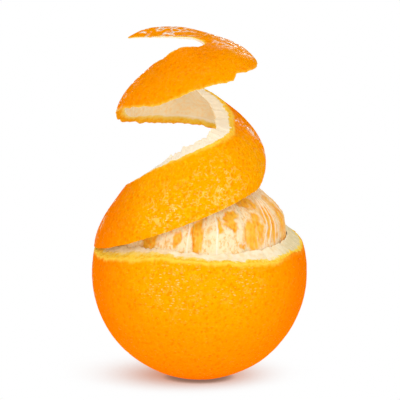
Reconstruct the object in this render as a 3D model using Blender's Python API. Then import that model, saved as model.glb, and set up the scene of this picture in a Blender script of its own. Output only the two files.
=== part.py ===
"""A half-peeled orange. The lower peel still cups the fruit. The rest of the peel was cut in one long
spiral and lifted: a ribbon of two turns that stands above the fruit and ends in the cap of the orange.
Lengths are in millimetres and angles in degrees until a mesh is made, which is in metres.
"""

import math

import bmesh
import bpy
import numpy as np
from mathutils import Matrix, Vector

MM = 0.001

# The orange, measured from its centre.
ORANGE_RADIUS = 40.0
PEEL_THICKNESS = 4.4
FRUIT_RADIUS = 35.2
FLAT_DEPTH = 0.6
CENTRE_HEIGHT = ORANGE_RADIUS - FLAT_DEPTH
PITH_RADIUS = ORANGE_RADIUS - PEEL_THICKNESS

# The fruit's segments stand round a column of pith.
SEGMENT_COUNT = 10
FIRST_MEMBRANE = 266.0
NEIGHBOUR_GAP = 0.3
CORE_RADIUS = 2.9
CORE_HALF_HEIGHT = 34.0
GROOVE = 0.045

# Above the rim, and away from the ribbon's root, nothing holds the fruit in and it swells a little.
SWELL = 2.8
SWELL_TURN = 330.0
SWELL_RISE = 14.0
SWELL_REACH = 42.0

# The knife went round once along the rim of the cup, from the end of the cut, and climbed to the ribbon's
# upper edge. Each pair is the latitude of the rim's zest edge and of its pith edge, every 20 degrees.
CUT_END = 150.0
RIM_STEP = 20.0
RIM = [
    (14.6, 21.1), (13.2, 19.6), (13.4, 19.8), (14.2, 20.2), (12.8, 21.8), (15.8, 21.6), (14.2, 19.9),
    (13.2, 18.8), (12.2, 20.2), (14.0, 22.2), (14.2, 22.9), (18.0, 25.8), (22.6, 30.0), (27.6, 34.8),
    (32.8, 39.8), (38.0, 45.0), (43.0, 49.8), (47.6, 54.3), (51.0, 57.5),
]

# The ribbon, station by station from the end of the cut to the tip of the cap. Each edge is given by its
# turn round the upright axis, its distance from that axis and its height above the orange's centre.
RIBBON = [
    ((150, 38.7, 10.1), (150, 25.2, 31.1)),
    ((171, 39.1, 10.2), (169, 26.0, 31.6)),
    ((191, 39.0, 10.3), (187, 27.3, 33.0)),
    ((212, 38.8, 12.2), (204, 26.9, 35.4)),
    ((234, 37.8, 16.2), (224, 26.4, 39.4)),
    ((256, 35.9, 21.2), (246, 25.4, 44.0)),
    ((278, 33.6, 26.2), (268, 23.8, 48.0)),
    ((300, 30.2, 30.4), (291, 21.0, 51.2)),
    ((325, 26.0, 32.7), (318, 16.3, 53.4)),
    ((350, 24.0, 34.9), (348, 12.6, 55.8)),
    ((378, 25.6, 38.2), (382, 12.6, 59.0)),
    ((405, 27.4, 42.8), (412, 13.6, 63.0)),
    ((435, 26.4, 49.4), (440, 14.8, 66.6)),
    ((465, 26.4, 52.2), (470, 15.6, 70.4)),
    ((495, 27.4, 53.2), (497, 16.8, 73.2)),
    ((525, 29.6, 54.9), (524, 17.3, 75.6)),
    ((548, 30.2, 60.2), (546, 16.6, 77.8)),
    ((570, 29.1, 62.8), (561, 14.6, 79.8)),
    ((596, 27.4, 64.0), (574, 12.8, 82.2)),
    ((611, 26.2, 67.2), (587, 9.9, 84.0)),
    ((632, 25.2, 70.7), (603, 7.0, 84.3)),
    ((653, 24.2, 73.0), (628, 4.7, 84.2)),
    ((676, 23.4, 75.8), (661, 3.2, 84.6)),
    ((700, 22.5, 77.0), (702, 2.3, 85.2)),
    ((728, 21.0, 79.0), (775, 1.6, 86.2)),
    ((757, 20.8, 81.2), (852, 3.0, 87.0)),
    ((787, 20.8, 84.6), (880, 7.5, 87.2)),
    ((815, 21.2, 87.9), (886, 12.8, 87.2)),
    ((840, 20.6, 89.4), (887, 18.5, 86.9)),
    ((865, 23.2, 89.2), (886, 23.5, 86.6)),
    ((882, 27.5, 86.6), (884, 27.5, 86.2)),
]
LAST = len(RIBBON) - 1

# How the ribbon's section changes on the way. Each list pairs with the stations above it.
TAPER_AT = [0, 4, 8, 11, 16, 19, 21, 25, 28, LAST]
THICKNESS = [PEEL_THICKNESS, 4.4, 4.3, 4.0, 3.2, 3.1, 3.0, 2.0, 1.1, 0.6]
CROWN = [2.1, 2.2, 2.5, 3.5, 1.6, 1.7, 2.2, 1.7, 0.9, 0.05]
LOWER_SLANT = [4.6, 4.6, 4.4, 4.0, 3.0, 3.0, 3.0, 2.4, 1.6, 0.3]
UPPER_SLANT = [4.6, 4.5, 5.6, 4.8, 3.0, 0.9, 0.2, 0.4, 0.8, 0.3]
CROWN_LEAN = 0.4
WIDEST_SLANT = 0.35
NARROWEST = 1.0

# At its root the ribbon is still a part of the ball, for two stations, 21 degrees each.
ROOT_STATIONS = 2.0
ROOT_TURN = 21.0

# A tear steps the ribbon's lower edge up, in front on the second turn. Its rise is a share of the width.
NOTCH_STATION = 21.3
NOTCH_LENGTH = 0.3
NOTCH_REACH = 1.3
NOTCH_LEAD = 0.4
NOTCH_RISE = 0.08

# Faceting. The step, in stations and in shares of the width, is the one slopes are measured over.
CUP_COLUMNS = 60
CUP_ROWS = 16
RIBBON_STEPS = 3
RIBBON_ROWS = 7
SEGMENT_COLUMNS = 4
BALL_RINGS = 18
CORE_SIDES = 20
STEP = 0.002
SHARP_ANGLE = math.radians(35.0)

for leftover in list(bpy.data.objects):
    bpy.data.objects.remove(leftover, do_unlink=True)

collection = bpy.data.collections.new("half_peeled_orange")
bpy.context.scene.collection.children.link(collection)


def material(name, colour, roughness):
    made = bpy.data.materials.new(name)
    made.use_nodes = True
    shader = made.node_tree.nodes["Principled BSDF"]
    shader.inputs["Base Color"].default_value = (*colour, 1.0)
    shader.inputs["Roughness"].default_value = roughness
    return made


def add_node(name, mesh, surface):
    made = bpy.data.objects.new(name, mesh)
    made.data.materials.clear()
    made.data.materials.append(surface)
    collection.objects.link(made)
    return made


def ease(x):
    """A smooth step from 0 to 1."""
    x = np.clip(x, 0.0, 1.0)
    return x * x * (3.0 - 2.0 * x)


def through(stations, at):
    """A smooth curve (Catmull-Rom) through evenly spaced stations, read at the given places."""
    stations = np.asarray(stations, float)
    slope = np.gradient(stations, axis=0)
    first = np.clip(np.floor(at).astype(int), 0, len(stations) - 2)
    s = (at - first)[:, None]
    rise = s * s * (3.0 - 2.0 * s)
    value = stations[first] * (1.0 - rise) + stations[first + 1] * rise
    return value + slope[first] * s * (1.0 - s) ** 2 - slope[first + 1] * s * s * (1.0 - s)


def cylindrical(turn, radius, height):
    angle = np.radians(turn)
    return np.stack([radius * np.cos(angle), radius * np.sin(angle), height + 0.0 * angle], axis=-1)


def on_ball(radius, turn, latitude):
    rise = np.radians(latitude)
    return cylindrical(turn, radius * np.cos(rise), radius * np.sin(rise))


LOWER_EDGE = cylindrical(*np.array([lower for lower, upper in RIBBON], float).T)
UPPER_EDGE = cylindrical(*np.array([upper for lower, upper in RIBBON], float).T)


def taper(values, station):
    return np.interp(station, TAPER_AT, values)


def ribbon_point(station, across):
    """The zest at a station along the ribbon, across 0 at its lower edge and 1 at its upper edge.

    The section is a chord between the two edges, crowned outwards. At the root it runs into the ball.
    """
    lower = through(LOWER_EDGE, station)
    upper = through(UPPER_EDGE, station)
    before = np.clip(station - STEP, 0.0, LAST)
    after = np.clip(station + STEP, 0.0, LAST)
    along = np.zeros_like(lower)
    for edge in (LOWER_EDGE, UPPER_EDGE):
        run = through(edge, after) - through(edge, before)
        along += run / np.linalg.norm(run, axis=1, keepdims=True)
    outward = np.cross(along, upper - lower)
    outward /= np.linalg.norm(outward, axis=1, keepdims=True)
    crown = 4.0 * across * (1.0 - across) * (1.0 + CROWN_LEAN * (1.0 - 2.0 * across))
    crown = crown * taper(CROWN, station)[:, None]
    chord = lower[:, None] + (upper - lower)[:, None] * across[..., None]
    lifted = chord + crown[..., None] * outward[:, None]
    turn = CUT_END + ROOT_TURN * station[:, None] + 0.0 * across
    latitude = RIM[0][0] + (RIM[-1][0] - RIM[0][0]) * across
    away = ease(station / ROOT_STATIONS)[:, None, None]
    return lifted * away + on_ball(ORANGE_RADIUS, turn, latitude) * (1.0 - away)


def ribbon_normal(station, across):
    middle = np.clip(station, STEP, LAST - STEP)
    along = ribbon_point(middle + STEP, across) - ribbon_point(middle - STEP, across)
    up = ribbon_point(station, across + STEP) - ribbon_point(station, across - STEP)
    outward = np.cross(along, up)
    return outward / np.linalg.norm(outward, axis=2, keepdims=True)


def ribbon_sheets():
    """The ribbon's zest and its pith side, each an array of stations by rows.

    The knife was held slantwise, so the pith starts higher than the zest and also ends higher.
    """
    station = np.linspace(0.0, LAST, LAST * RIBBON_STEPS + 1)
    spread = np.linspace(0.0, 1.0, RIBBON_ROWS)[None, :]
    past_tear = station - NOTCH_STATION
    tear = ease(past_tear / NOTCH_LENGTH) - np.clip(past_tear / NOTCH_REACH + NOTCH_LEAD, 0.0, 1.0)
    tear *= NOTCH_RISE
    across = tear[:, None] + (1.0 - tear)[:, None] * spread
    zest = ribbon_point(station, across)
    width = np.maximum(np.linalg.norm(zest[:, -1] - zest[:, 0], axis=1), NARROWEST)
    low = tear + np.minimum(taper(LOWER_SLANT, station) / width, WIDEST_SLANT)
    high = 1.0 + np.minimum(taper(UPPER_SLANT, station) / width, WIDEST_SLANT)
    at_root = 1.0 - ease(station / ROOT_STATIONS)
    climb = RIM[-1][0] - RIM[0][0]
    low += at_root * ((RIM[0][1] - RIM[0][0]) / climb - low)
    high += at_root * (1.0 + (RIM[-1][1] - RIM[-1][0]) / climb - high)
    across = low[:, None] + (high - low)[:, None] * spread
    depth = taper(THICKNESS, station)[:, None, None]
    pith = ribbon_point(station, across) - ribbon_normal(station, across) * depth
    return zest, pith


def cup_sheet(radius, rim_latitude, bottom_latitude):
    """One side of the cup, an array of columns by rows, from the ring round its bottom up to the rim."""
    turn = CUT_END + np.linspace(0.0, 360.0, CUP_COLUMNS, endpoint=False)
    top = through(np.array(rim_latitude)[:, None], (turn - CUT_END) / RIM_STEP)
    latitude = bottom_latitude + (top - bottom_latitude) * np.linspace(0.0, 1.0, CUP_ROWS)
    return on_ball(radius, turn[:, None] + 0.0 * latitude, latitude)


def join_columns(left, right, height):
    """Triangles between two columns of unlike counts that start at one shared vertex, by height."""
    faces = [(left[0], right[1], left[1])]
    i = 1
    j = 1
    while i < len(left) - 1 or j < len(right) - 1:
        left_next = j == len(right) - 1
        if not left_next and i < len(left) - 1:
            left_next = height[left[i + 1]] <= height[right[j + 1]]
        if left_next:
            faces.append((left[i], right[j], left[i + 1]))
            i += 1
        else:
            faces.append((left[i], right[j], right[j + 1]))
            j += 1
    return faces


def peel_side(vertices, pole, cup, ribbon):
    """Adds one side of the peel to the vertices. Returns its faces and the loop of its free edge.

    The cup's first column carries on upwards as the ribbon's first station, and the cup's last column is
    joined to both, which closes the cup behind the end of the cut.
    """
    first_cup = len(vertices) + 1
    first_ribbon = first_cup + CUP_COLUMNS * CUP_ROWS
    vertices.append((0.0, 0.0, pole))
    vertices.extend(map(tuple, cup.reshape(-1, 3)))
    vertices.extend(map(tuple, ribbon.reshape(-1, 3)))
    on_cup = np.arange(first_cup, first_ribbon).reshape(CUP_COLUMNS, CUP_ROWS)
    on_ribbon = np.arange(first_ribbon, len(vertices)).reshape(-1, RIBBON_ROWS)
    on_ribbon[0, 0] = on_cup[0, -1]
    faces = []
    for grid in (on_cup, on_ribbon):
        corners = (grid[:-1, :-1], grid[1:, :-1], grid[1:, 1:], grid[:-1, 1:])
        faces.extend(map(tuple, np.stack(corners, axis=-1).reshape(-1, 4).tolist()))
    for here, there in zip(on_cup[:-1, 0].tolist(), on_cup[1:, 0].tolist()):
        faces.append((first_cup - 1, there, here))
    last_column = [first_cup - 1] + on_cup[-1].tolist()
    shared_column = [first_cup - 1] + on_cup[0].tolist() + on_ribbon[0, 1:].tolist()
    faces += join_columns(last_column, shared_column, [point[2] for point in vertices])
    rim = on_cup[:, -1].tolist()
    upper = on_ribbon[:, -1].tolist()
    tip = on_ribbon[-1, -2:0:-1].tolist()
    lower = on_ribbon[:0:-1, 0].tolist()
    return faces, rim + upper + tip + lower


def orange_peel():
    """Cup and ribbon, one piece: two sides, joined by the cut face that runs round their free edge."""
    bottom = -math.degrees(math.asin(CENTRE_HEIGHT / ORANGE_RADIUS))
    zest_rim = [zest for zest, pith in RIM]
    pith_rim = [pith for zest, pith in RIM]
    zest_ribbon, pith_ribbon = ribbon_sheets()
    vertices = []
    zest_cup = cup_sheet(ORANGE_RADIUS, zest_rim, bottom)
    zest_faces, zest_edge = peel_side(vertices, -CENTRE_HEIGHT, zest_cup, zest_ribbon)
    pith_cup = cup_sheet(PITH_RADIUS, pith_rim, bottom)
    pith_faces, pith_edge = peel_side(vertices, -PITH_RADIUS, pith_cup, pith_ribbon)
    faces = zest_faces + [tuple(reversed(face)) for face in pith_faces]
    for k, outer in enumerate(zest_edge):
        faces.append((outer, zest_edge[k - 1], pith_edge[k - 1], pith_edge[k])[::-1])
    points = (np.array(vertices) + (0.0, 0.0, CENTRE_HEIGHT)) * MM
    mesh = bpy.data.meshes.new("orange_peel")
    mesh.from_pydata(points.tolist(), [], faces)
    shape = bmesh.new()
    shape.from_mesh(mesh)
    bmesh.ops.delete(shape, geom=[v for v in shape.verts if not v.link_faces], context="VERTS")
    shape.to_mesh(mesh)
    shape.free()
    mesh.shade_smooth()
    mesh.set_sharp_from_angle(angle=SHARP_ANGLE)
    return mesh


def swell(points):
    """How far the fruit stands proud of its ball at each point, by the height above the rim's pith edge."""
    radius = np.linalg.norm(points, axis=1)
    latitude = np.degrees(np.arcsin(points[:, 2] / radius))
    turn = np.degrees(np.arctan2(points[:, 1], points[:, 0]))
    pith_rim = np.array([[pith] for zest, pith in RIM])
    rim = through(pith_rim, (turn - CUT_END) % 360.0 / RIM_STEP)[:, 0]
    away = points @ cylindrical(SWELL_TURN, 1.0, 0.0)
    return SWELL * ease((latitude - rim) / SWELL_RISE) * ease(0.5 + away / SWELL_REACH)


def segment(middle):
    """One segment of the fruit, along +X until it is turned to its place, the middle.

    It is a wedge of the ball, rounded off towards its membranes.
    """
    half_angle = math.pi / SEGMENT_COUNT
    shape = bmesh.new()
    bmesh.ops.create_uvsphere(
        shape, u_segments=SEGMENT_COLUMNS * SEGMENT_COUNT, v_segments=BALL_RINGS, radius=FRUIT_RADIUS * MM
    )
    places = [Matrix.Rotation(math.radians(middle), 3, "Z") @ vertex.co for vertex in shape.verts]
    proud = swell(np.array(places) / MM)
    for vertex, rise in zip(shape.verts, proud.tolist()):
        side = min(abs(math.atan2(vertex.co.y, vertex.co.x)) / half_angle, 1.0)
        vertex.co *= 1.0 + rise / FRUIT_RADIUS
        vertex.co.xy *= 1.0 - GROOVE * side**4
    half_gap = 0.5 * NEIGHBOUR_GAP * MM
    core_face = Vector(((CORE_RADIUS + NEIGHBOUR_GAP) * MM, 0.0, 0.0))
    cuts = [(core_face, Vector((-1.0, 0.0, 0.0)))]
    for way in (-1.0, 1.0):
        membrane = Vector((-math.sin(half_angle), way * math.cos(half_angle), 0.0))
        cuts.append((membrane * -half_gap, membrane))
    for point, outward in cuts:
        everything = shape.verts[:] + shape.edges[:] + shape.faces[:]
        cut = bmesh.ops.bisect_plane(
            shape, geom=everything, dist=1e-7, plane_co=point, plane_no=outward, clear_outer=True
        )
        edges = [item for item in cut["geom_cut"] if isinstance(item, bmesh.types.BMEdge)]
        bmesh.ops.edgeloop_fill(shape, edges=edges)
    bmesh.ops.remove_doubles(shape, verts=shape.verts[:], dist=1e-5)
    bmesh.ops.recalc_face_normals(shape, faces=shape.faces[:])
    mesh = bpy.data.meshes.new("segment")
    shape.to_mesh(mesh)
    shape.free()
    mesh.shade_smooth()
    mesh.set_sharp_from_angle(angle=SHARP_ANGLE)
    return mesh


def core():
    """The column of pith that the segments stand round."""
    shape = bmesh.new()
    bmesh.ops.create_cone(
        shape, cap_ends=True, segments=CORE_SIDES, radius1=CORE_RADIUS * MM, radius2=CORE_RADIUS * MM,
        depth=2.0 * CORE_HALF_HEIGHT * MM,
    )
    mesh = bpy.data.meshes.new("core")
    shape.to_mesh(mesh)
    shape.free()
    mesh.shade_smooth()
    mesh.set_sharp_from_angle(angle=SHARP_ANGLE)
    return mesh


zest = material("orange zest", (1.0, 0.36, 0.0), 0.38)
flesh = material("segment membrane", (0.93, 0.62, 0.32), 0.45)
pith = material("pith", (0.95, 0.84, 0.62), 0.8)

add_node("orange_peel", orange_peel(), zest)

upright = Matrix.Translation((0.0, 0.0, CENTRE_HEIGHT * MM))
for number in range(SEGMENT_COUNT):
    middle = FIRST_MEMBRANE + 360.0 / SEGMENT_COUNT * (number + 0.5)
    lobe = add_node(f"segment_{number + 1:02d}", segment(middle), flesh)
    lobe.matrix_world = upright @ Matrix.Rotation(math.radians(middle), 4, "Z")

column = add_node("core", core(), pith)
column.matrix_world = upright
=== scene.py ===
"""Looks of a half-peeled orange: its rind as a cup and a standing coil, and the bare fruit between them.

Shapes are worked out in millimetres from the orange's centre, with latitudes and turns round the upright
axis in degrees. They become metres in the frame's place when a mesh is made.
"""

import itertools
import math

import bmesh
import bpy
import numpy as np
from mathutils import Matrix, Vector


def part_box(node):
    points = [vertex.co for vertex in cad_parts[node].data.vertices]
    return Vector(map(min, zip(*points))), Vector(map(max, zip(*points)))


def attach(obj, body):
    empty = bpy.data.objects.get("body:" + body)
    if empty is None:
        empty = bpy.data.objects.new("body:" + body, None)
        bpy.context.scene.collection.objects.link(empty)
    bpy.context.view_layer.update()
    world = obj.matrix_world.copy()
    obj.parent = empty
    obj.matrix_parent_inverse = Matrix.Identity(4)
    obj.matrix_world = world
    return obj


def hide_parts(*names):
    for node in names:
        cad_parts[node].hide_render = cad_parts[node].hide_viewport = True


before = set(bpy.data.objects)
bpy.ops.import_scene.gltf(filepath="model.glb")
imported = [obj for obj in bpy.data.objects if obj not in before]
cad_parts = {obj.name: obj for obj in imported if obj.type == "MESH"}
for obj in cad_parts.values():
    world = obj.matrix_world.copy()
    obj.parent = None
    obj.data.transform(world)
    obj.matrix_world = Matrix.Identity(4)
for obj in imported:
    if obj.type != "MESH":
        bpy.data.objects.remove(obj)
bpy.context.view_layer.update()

# ---------------------------------------------------------------------------------------------------------
# The peel. One piece of rind: waxy zest outside, white pith inside. Its lower half still cups the fruit. A
# knife took the rest off as a ribbon of two turns, which was lifted into a coil that ends in the cap.
# ---------------------------------------------------------------------------------------------------------

MM = 0.001
peel_low, peel_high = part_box("orange_peel")
ORANGE_RADIUS = (peel_high.y - peel_low.y) / 2.0 / MM
FLAT_DEPTH = 0.6
CENTRE_HEIGHT = ORANGE_RADIUS - FLAT_DEPTH
PEEL_THICKNESS = 4.4
PITH_RADIUS = ORANGE_RADIUS - PEEL_THICKNESS
SKIN_DEPTH = 0.12

# The rim of the cup from the end of the cut, every 20 degrees: latitude of its zest edge and its pith edge.
CUT_END = 150.0
RIM_STEP = 20.0
RIM = [
    (14.6, 21.1), (13.2, 19.6), (12.8, 19.8), (12.6, 20.2), (14.3, 21.6), (15.8, 21.6), (14.2, 19.9),
    (13.2, 18.8), (12.2, 20.2), (14.0, 22.2), (14.2, 22.9), (18.0, 25.8), (22.6, 30.0), (27.6, 34.8),
    (32.8, 39.8), (38.0, 45.0), (43.0, 49.8), (47.6, 54.3), (51.0, 57.5),
]
# How ragged the knife left its zest edge and its pith edge, and the degrees it takes to get so at each end.
RIM_RAGGED = (1.0, 1.2)
RIM_ROUGHENS = 40.0
# How much of the rim's cut face is zest layer, by turn: much on the left, where the knife came in flat.
RIM_RIND_AT = [150.0, 200.0, 235.0, 262.0, 285.0, 330.0, 350.0, 510.0]
RIM_RIND = [0.5, 0.42, 0.58, 0.42, 0.28, 0.25, 0.2, 0.3]
# Torn shreds of pith stand up on the rim at the right: turn, half of their width, and height.
TORN = [(364.0, 1.8, 1.4), (369.5, 1.5, 2.4), (374.0, 1.6, 3.4), (378.5, 1.4, 2.2)]
# The pith's lip leans in on the fruit, and most at the middle shred, where the fruit has a groove.
LIP_LEAN = 0.25
SHRED_LEAN = 0.6
LEAN_TURN = 374.0
LEAN_WIDTH = 3.2

# The ribbon from the end of the cut to the tip of the cap. Each edge, lower and upper, is given by its turn,
# its distance from the upright axis and its height above the orange's centre.
RIBBON = [
    ((150, 38.7, 10.1), (150, 25.2, 31.1)),
    ((171, 39.1, 10.2), (169, 26.0, 31.6)),
    ((191, 39.0, 10.3), (187, 27.3, 33.0)),
    ((212, 38.8, 12.2), (204, 26.9, 35.4)),
    ((234, 37.8, 16.2), (224, 26.4, 39.4)),
    ((256, 35.9, 21.2), (246, 25.4, 44.0)),
    ((278, 33.6, 26.2), (268, 23.8, 48.0)),
    ((300, 30.2, 30.4), (291, 21.0, 51.2)),
    ((325, 26.0, 32.7), (318, 16.3, 53.4)),
    ((350, 24.0, 34.9), (348, 12.6, 55.8)),
    ((378, 25.6, 38.2), (382, 12.6, 59.0)),
    ((405, 27.4, 42.8), (412, 13.6, 63.0)),
    ((435, 26.4, 49.4), (440, 14.8, 66.6)),
    ((465, 26.4, 52.2), (470, 15.6, 70.4)),
    ((495, 27.4, 53.2), (497, 16.8, 73.2)),
    ((525, 30.0, 54.9), (524, 17.3, 75.6)),
    ((548, 31.0, 60.2), (546, 16.8, 77.8)),
    ((570, 29.1, 62.8), (561, 14.6, 79.8)),
    ((596, 27.4, 64.0), (574, 12.8, 82.2)),
    ((611, 26.2, 67.2), (587, 9.9, 84.0)),
    ((632, 25.2, 70.7), (603, 7.0, 84.3)),
    ((653, 24.2, 73.0), (628, 4.7, 84.2)),
    ((676, 23.4, 75.8), (661, 3.2, 84.6)),
    ((700, 22.5, 77.0), (702, 2.3, 85.2)),
    ((728, 21.0, 79.0), (775, 1.6, 86.2)),
    ((757, 20.8, 81.2), (852, 3.0, 87.0)),
    ((787, 20.8, 84.6), (880, 7.5, 87.2)),
    ((815, 21.2, 87.9), (886, 12.8, 87.2)),
    ((840, 20.6, 89.4), (887, 18.5, 86.9)),
    ((865, 23.2, 89.2), (886, 23.5, 86.6)),
    ((882, 27.5, 86.6), (884, 27.5, 86.2)),
]
LAST = len(RIBBON) - 1

# How the ribbon changes on the way. Each list pairs with the stations of the first: the rind's thickness,
# how far it bulges, how far the pith's edge lies past the zest's, how ragged each edge is, how much of the
# cut face is zest layer, and how far in from the edge the cut's pale oil glows through the zest.
TAPER_AT = [0, 4, 8, 11, 16, 19, 21, 25, 28, LAST]
THICKNESS = [PEEL_THICKNESS, 4.4, 4.3, 4.0, 3.2, 3.1, 3.0, 1.4, 0.6, 0.5]
CROWN = [2.1, 2.2, 2.8, 4.3, 1.7, 1.7, 2.4, 2.3, 1.2, 0.05]
LOWER_SLANT = [4.6, 4.6, 4.4, 4.0, 3.0, 3.0, 3.0, 1.6, 0.9, 0.3]
UPPER_SLANT = [4.6, 5.4, 5.4, 4.8, 3.0, 0.9, 0.2, 0.4, 0.6, 0.3]
LOWER_RAGGED = [0.0, 0.2, 0.3, 0.6, 1.0, 0.5, 0.5, 0.5, 0.3, 0.0]
UPPER_RAGGED = [0.0, 0.6, 0.4, 0.4, 0.3, 0.2, 0.2, 0.3, 0.2, 0.0]
PITH_RAGGED = [0.6, 1.3, 1.2, 1.0, 1.0, 0.6, 0.4, 0.4, 0.3, 0.0]
LOWER_RIND = [0.45, 0.4, 0.3, 0.5, 0.95, 0.8, 0.5, 0.3, 0.2, 0.5]
UPPER_RIND = [0.2, 0.14, 0.13, 0.22, 0.3, 0.4, 0.4, 0.3, 0.2, 0.5]
LOWER_GLOW = [-1.6, -1.6, -1.6, -1.2, -0.5, -0.5, -0.7, -0.8, -0.8, -0.8]
UPPER_GLOW = [-0.7, -0.9, 0.1, 0.6, -0.2, -0.8, -1.0, -0.8, -0.8, -0.8]
# The bulge leans to the ribbon's lower edge. The pith's edge lies past the zest's by this share of the width
# at most, and no width counts as less than a millimetre.
CROWN_LEAN = 0.4
WIDEST_SLANT = 0.35
NARROWEST = 1.0
# The first stations grow out of the cup's ball, so many degrees of turn to a station.
ROOT_STATIONS = 2.0
ROOT_TURN = 21.0
# The small step along and across the ribbon from which its slopes are taken.
STEP = 0.002

# A tear steps the ribbon's lower edge up, in front on the second turn. Its rise is a share of the width.
NOTCH_STATION = 21.3
NOTCH_LENGTH = 0.3
NOTCH_REACH = 1.3
NOTCH_LEAD = 0.4
NOTCH_RISE = 0.08

# Oil glands pit the zest: one to each cube of this size, as deep as this.
PIT_SPACING = 1.75
PIT_RADIUS = 1.05
PIT_DEPTH = 0.3
# Lumps of the zest, the pith, the cut face and the cut edges: the size of each layer and its height.
ZEST_WAVES = [(11.0, 0.14), (4.0, 0.05)]
PITH_WAVES = [(5.0, 0.14), (1.4, 0.07)]
CUT_LUMPS = [(1.7, 0.22), (0.8, 0.12)]
EDGE_STRAY = [(6.0, 0.5), (2.8, 0.45), (1.4, 0.4), (0.7, 0.25)]
CUP_PITH_SIZE = 3.0
CUP_PITH_SHARE = 0.003

# Where the zest's wax is polished, out of its matt bloom: turn, height, half of each, and how polished.
# The same patches set where the ridges are painted with highlights.
DULL_WAX = 0.06
POLISH_AND_GLINT_PATCHES = [
    (257.0, 0.0, 20.0, 12.0, 0.9), (293.0, 1.0, 17.0, 9.0, 0.8), (276.0, 3.0, 24.0, 7.0, 0.3),
    (250.0, 26.0, 16.0, 11.0, 0.8), (284.0, 34.0, 26.0, 13.0, 0.8), (12.0, 48.0, 9.0, 18.0, 1.0),
    (186.0, 22.0, 12.0, 12.0, 0.9), (184.0, -4.0, 8.0, 20.0, 0.9), (186.0, 66.0, 15.0, 14.0, 1.0),
]
POLISH_ENDS = 1.3
# Round the back the polish is in lumps.
BACK_WAX = 0.5
BACK_WAX_SIZE = 12.0
BACK_STARTS = 4.0
BACK_BLENDS = 16.0
# The cap's crest shines too. It lies along an arch with its top left of the middle, and is dull over a fold.
# Its streaks are painted highlights as well as wax.
CREST_LEFT = 8.0
CREST_SPAN = 118.0
CREST_LOW = 83.8
CREST_HIGH = 88.4
FOLD_AT = 0.5
FOLD_HALF = 5.0
FOLD_DULLS = 0.85

CUP_COLUMNS = 400
FLAT_ROWS = 6
CUP_ROWS = 112
PITH_CUP_ROWS = 9
RIBBON_COLUMNS = 600
RIBBON_ROWS = 41
PITH_RIBBON_ROWS = 14
CUT_ROWS = 6
SHARP_CUT = 38.0


def ease(x):
    """A smooth step: 3 x squared less 2 x cubed, with x held between 0 and 1."""
    x = np.clip(x, 0.0, 1.0)
    return x * x * (3.0 - 2.0 * x)


def through(stations, at):
    """Catmull-Rom: cubics through evenly spaced stations, each with the slope between its neighbours."""
    stations = np.asarray(stations, float)
    slope = np.gradient(stations, axis=0)
    first = np.clip(np.floor(at).astype(int), 0, len(stations) - 2)
    s = (at - first)[:, None]
    rise = s * s * (3.0 - 2.0 * s)
    value = stations[first] * (1.0 - rise) + stations[first + 1] * rise
    return value + slope[first] * s * (1.0 - s) ** 2 - slope[first + 1] * s * s * (1.0 - s)


def cylindrical(turn, radius, height):
    """Radius times the cosine and the sine of the turn, and the height."""
    angle = np.radians(turn)
    return np.stack([radius * np.cos(angle), radius * np.sin(angle), height + 0.0 * angle], axis=-1)


def on_ball(radius, turn, latitude):
    """A place on a ball round the orange's centre."""
    rise = np.radians(latitude)
    return cylindrical(turn, radius * np.cos(rise), radius * np.sin(rise))


# Large whole numbers that stir a cube's place in its grid until it shows no pattern.
STIR_PLACE = np.array([
    [73856093, 9349661, 83492791],
    [19349663, 73856093, 2654435],
    [8349279, 4256233, 3856093],
])
STIR_SEED = 7919
STIR_FIRST = 2246822519
STIR_SECOND = 3266489917
DRAWS = 65536


def scatter(cubes, seed):
    """Three numbers from 0 to 1 for each cube of a grid, drawn from its whole-numbered place."""
    mixed = cubes @ STIR_PLACE
    mixed = (mixed + seed * STIR_SEED) * STIR_FIRST
    mixed ^= mixed >> 15
    mixed *= STIR_SECOND
    mixed ^= mixed >> 13
    return (mixed & (DRAWS - 1)) / DRAWS


def lumps(points, size, seed=0):
    """Smooth lumps from -1 to 1: a number drawn for each corner of a grid of cubes, eased in between."""
    place = points / size
    cube = np.floor(place).astype(np.int64)
    share = ease(place - cube)
    total = np.zeros(points.shape[:-1])
    for corner in itertools.product((0, 1), repeat=3):
        weight = np.prod(np.where(corner, share, 1.0 - share), axis=-1)
        total += weight * scatter(cube + np.array(corner), seed)[..., 0]
    return 2.0 * total - 1.0


def layered(points, layers, seed):
    """Lumps of several sizes added up, each with its own height and its own seed."""
    total = 0.0
    for size, height in layers:
        total = total + height * lumps(points, size, seed)
        seed += 1
    return total


def pits(points):
    """How deep each point lies in an oil gland's pit, 0 to 1: eased by the distance to the nearest gland."""
    cube = np.floor(points / PIT_SPACING).astype(np.int64)
    nearest = np.full(points.shape[:-1], np.inf)
    for step in itertools.product((-1, 0, 1), repeat=3):
        there = cube + np.array(step)
        gland = (there + scatter(there, 3)) * PIT_SPACING
        nearest = np.minimum(nearest, np.linalg.norm(points - gland, axis=-1))
    return ease(1.0 - nearest / PIT_RADIUS)


def skin(points, normal):
    """The zest's relief: sunk by a little, by its pits and by the slow swells of a grown fruit."""
    pit = pits(points)
    waves = layered(points, ZEST_WAVES, 1) + sum(height for size, height in ZEST_WAVES)
    return points - normal * (SKIN_DEPTH + PIT_DEPTH * pit + waves)[..., None], pit


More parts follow.
